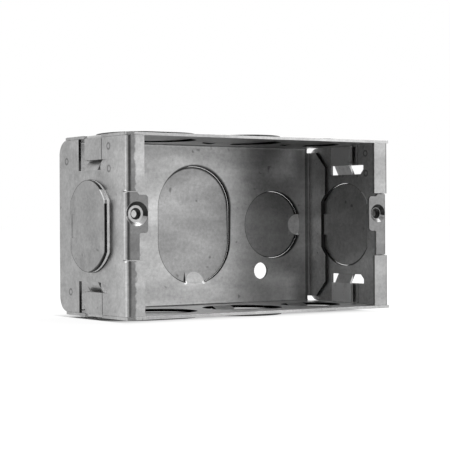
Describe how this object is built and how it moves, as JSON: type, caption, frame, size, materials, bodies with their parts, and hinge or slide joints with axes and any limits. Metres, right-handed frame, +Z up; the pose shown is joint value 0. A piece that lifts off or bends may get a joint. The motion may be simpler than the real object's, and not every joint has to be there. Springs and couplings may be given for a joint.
{
  "type": "flush back box",
  "caption": "Rectangular pressed sheet-steel flush back box, open at the front, with conduit knockouts, folded front flanges and threaded plate-fixing lugs.",
  "frame": {"origin": "centre of the footprint, at the height of the surface that the bottom knockouts rest on", "axes": "+X along the box towards the end nearer to the fixing hole, +Y from the open front towards the back plate, +Z up"},
  "size_m": [0.0942, 0.0388, 0.0524],
  "materials": {
    "galvanised_steel": "galvanised"
  },
  "bodies": {
    "root": {"body_channel": "galvanised_steel", "left_end_plate": "galvanised_steel", "right_end_plate": "galvanised_steel"}
  },
  "joints": []
}
